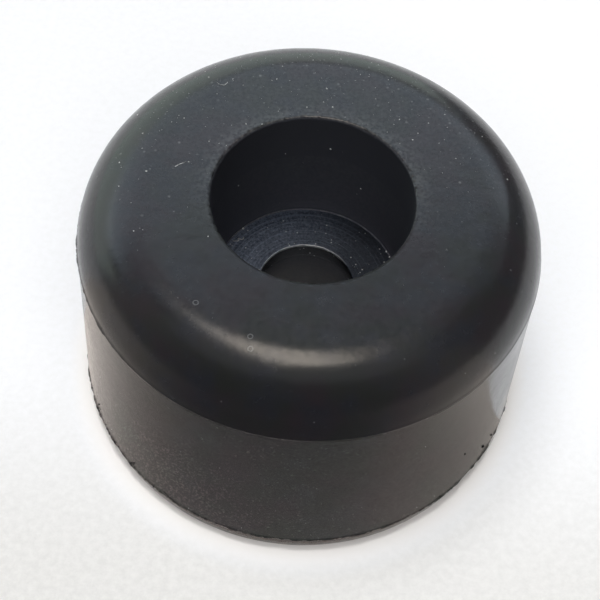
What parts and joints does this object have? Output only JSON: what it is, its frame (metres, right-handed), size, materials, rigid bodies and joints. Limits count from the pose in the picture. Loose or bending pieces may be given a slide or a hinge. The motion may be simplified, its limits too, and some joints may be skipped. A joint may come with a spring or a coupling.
{
  "type": "rubber foot",
  "caption": "Round screw-on rubber foot with a rounded end, a deep screw recess and a steel washer moulded in round the screw hole.",
  "frame": {"origin": "centre of the flat mounting face, which the foot stands on", "axes": "+Z along the screw's axis, from the mounting face towards the rounded end"},
  "size_m": [0.0404, 0.0404, 0.025],
  "materials": {
    "moulded_rubber": "moulded black rubber, semi-matt, with a slightly glossier scuffed wall",
    "dark_steel": "dull blue-grey steel that looks dark in the recess, with faint rings round the hole and a bright worn hole edge"
  },
  "bodies": {
    "root": {"rubber_body": "moulded_rubber", "washer": "dark_steel"}
  },
  "joints": []
}
